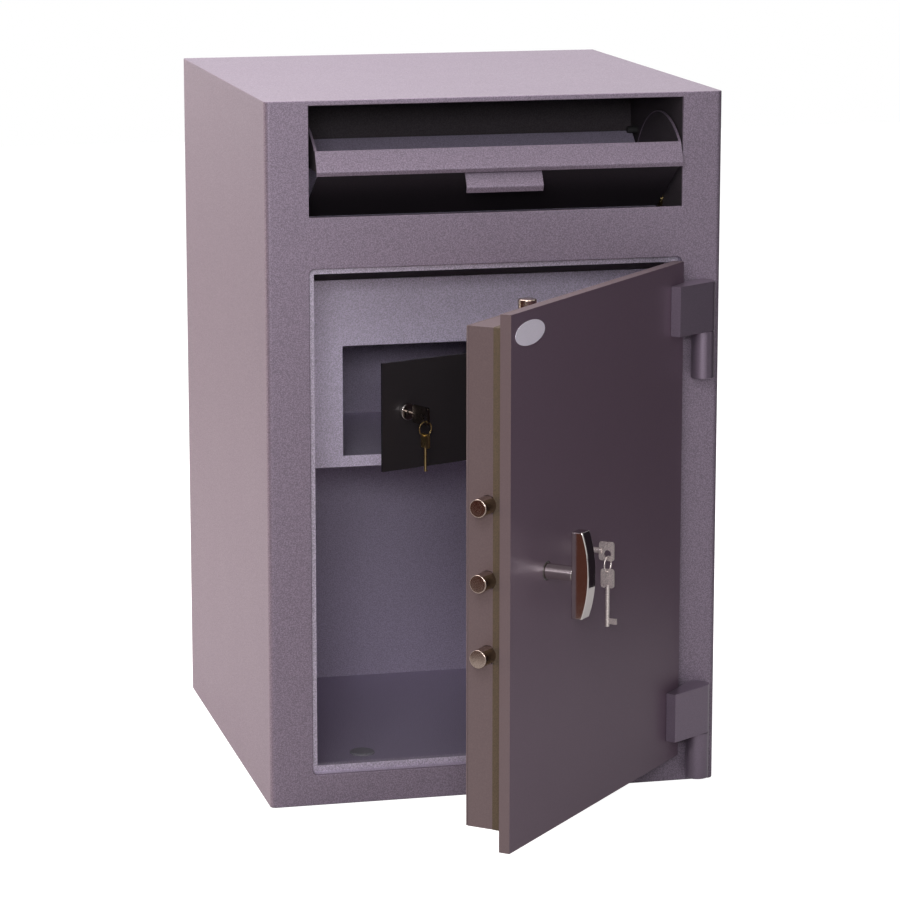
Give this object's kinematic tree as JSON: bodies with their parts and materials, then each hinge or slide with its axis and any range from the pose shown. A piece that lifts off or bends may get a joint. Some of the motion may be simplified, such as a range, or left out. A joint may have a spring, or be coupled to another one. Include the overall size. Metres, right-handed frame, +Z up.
{
  "type": "drop safe with deposit drawer",
  "caption": "Floor-standing drop safe: a tilting deposit drawer over a bolted swing door, with a lockable inner coffer under the drop chute.",
  "frame": {"origin": "centre of the base, on the surface that the safe stands on", "axes": "+X to the right of the front, +Y to the back, +Z up; the door and the deposit drawer face -Y"},
  "size_m": [0.5, 0.8359, 0.765],
  "materials": {
    "body_paint": "hammered grey paint with a slight metallic glint",
    "door_paint": "hammered grey paint, smoother and darker on the door",
    "pan_paint": "hammered warm grey paint",
    "chamber_paint": "dark grey paint inside the deposit chamber",
    "coffer_paint": "hammered lilac grey paint",
    "coffer_door_paint": "dark satin paint",
    "chrome": "polished",
    "nickel": "turned, satin",
    "steel": "plain zinc-plated",
    "brass": "satin",
    "rubber": "matte",
    "badge": "satin, bare"
  },
  "bodies": {
    "root": {"front_frame": "body_paint", "left_side": "body_paint", "right_side": "body_paint", "top_plate": "body_paint", "base_plate": "body_paint", "back_plate": "body_paint", "door_rebate": "body_paint", "anchor_cap_front": "rubber", "anchor_cap_rear": "rubber", "deposit_floor": "chamber_paint", "deposit_back": "chamber_paint", "left_cheek": "chamber_paint", "right_cheek": "chamber_paint", "drop_chute": "chamber_paint", "hopper_bush_left": "brass", "hopper_bush_right": "brass", "hopper_stop_left": "rubber", "hopper_stop_right": "rubber", "coffer_front": "coffer_paint", "coffer_floor": "coffer_paint", "coffer_hinge_lower": "steel", "coffer_hinge_upper": "steel", "upper_hinge_barrel": "body_paint", "lower_hinge_barrel": "body_paint", "upper_hinge_pin": "steel", "lower_hinge_pin": "steel"},
    "hopper": {"hopper_scoop": "body_paint", "hopper_left_end": "body_paint", "hopper_right_end": "body_paint", "hopper_rod": "steel", "hopper_grip": "body_paint"},
    "main_door": {"door_plate": "door_paint", "door_pan": "pan_paint", "door_back_cover": "pan_paint", "dog_bar": "pan_paint", "upper_hinge_leaf": "body_paint", "lower_hinge_leaf": "body_paint", "door_badge": "badge", "handle_bush": "steel", "lock_case": "steel", "side_bolt_guide": "steel"},
    "handle": {"handle_shaft": "chrome", "handle_knob": "chrome", "boltwork_cam": "steel"},
    "side_bolts": {"bolt_carriage": "steel", "side_bolt_lower": "nickel", "side_bolt_middle": "nickel", "side_bolt_upper": "nickel"},
    "top_bolt": {"top_bolt": "nickel", "top_bolt_bar": "steel"},
    "bottom_bolt": {"bottom_bolt": "nickel", "bottom_bolt_bar": "steel"},
    "lock_bolt": {"lock_bolt": "brass"},
    "main_key": {"main_key": "nickel"},
    "main_key_ring": {"main_key_ring": "nickel"},
    "coffer_door": {"coffer_door": "coffer_door_paint", "coffer_lock": "chrome"},
    "coffer_key": {"coffer_cam": "steel", "coffer_key": "nickel"},
    "coffer_key_ring": {"coffer_key_ring": "brass"}
  },
  "joints": [
    {"name": "main_door", "type": "hinge", "parent": "root", "child": "main_door", "pos_m": [0.227, -0.269, 0.3], "axis": [0, 0, 1], "range_deg": [-48.3, 121.7]},
    {"name": "handle", "type": "hinge", "parent": "main_door", "child": "handle", "pos_m": [-0.01321, -0.51906, 0.312], "axis": [-0.7466, 0.6652, 0], "range_deg": [0, 90]},
    {"name": "side_bolts", "type": "slide", "parent": "main_door", "child": "side_bolts", "axis": [0.6652, 0.7466, 0], "range_m": [0, 0.018]},
    {"name": "top_bolt", "type": "slide", "parent": "main_door", "child": "top_bolt", "axis": [0, 0, -1], "range_m": [0, 0.018]},
    {"name": "bottom_bolt", "type": "slide", "parent": "main_door", "child": "bottom_bolt", "axis": [0, 0, 1], "range_m": [0, 0.018]},
    {"name": "main_key", "type": "hinge", "parent": "main_door", "child": "main_key", "pos_m": [0.04766, -0.45075, 0.316], "axis": [0.7466, -0.6652, 0], "range_deg": [-90, 0]},
    {"name": "lock_bolt", "type": "slide", "parent": "main_door", "child": "lock_bolt", "axis": [0.6652, 0.7466, 0], "range_m": [-0.012, 0]},
    {"name": "main_key_ring", "type": "hinge", "parent": "main_key", "child": "main_key_ring", "pos_m": [0.06543, -0.46658, 0.3075], "axis": [0.7466, -0.6652, 0], "range_deg": [0, 90]},
    {"name": "hopper", "type": "hinge", "parent": "root", "child": "hopper", "pos_m": [0, -0.174, 0.64], "axis": [-1, 0, 0], "range_deg": [0, 60]},
    {"name": "coffer_door", "type": "hinge", "parent": "root", "child": "coffer_door", "pos_m": [0.1677, -0.0545, 0.4], "axis": [0, 0, 1], "range_deg": [-21.8, 38.2]},
    {"name": "coffer_key", "type": "hinge", "parent": "coffer_door", "child": "coffer_key", "pos_m": [-0.07473, -0.14769, 0.41], "axis": [0.3714, -0.9285, 0], "range_deg": [-90, 0]},
    {"name": "coffer_key_ring", "type": "hinge", "parent": "coffer_key", "child": "coffer_key_ring", "pos_m": [-0.06084, -0.18242, 0.4013], "axis": [0.3714, -0.9285, 0], "range_deg": [0, 90]}
  ],
  "couplings": [
    {"joint": "side_bolts", "follows": "handle", "m_per_rad": 0.011459},
    {"joint": "top_bolt", "follows": "handle", "m_per_rad": 0.011459},
    {"joint": "bottom_bolt", "follows": "handle", "m_per_rad": 0.011459},
    {"joint": "main_key", "follows": "lock_bolt", "rad_per_m": 130.9},
    {"joint": "main_key_ring", "follows": "lock_bolt", "rad_per_m": -130.9},
    {"joint": "coffer_key_ring", "follows": "coffer_key", "ratio": -1}
  ]
}
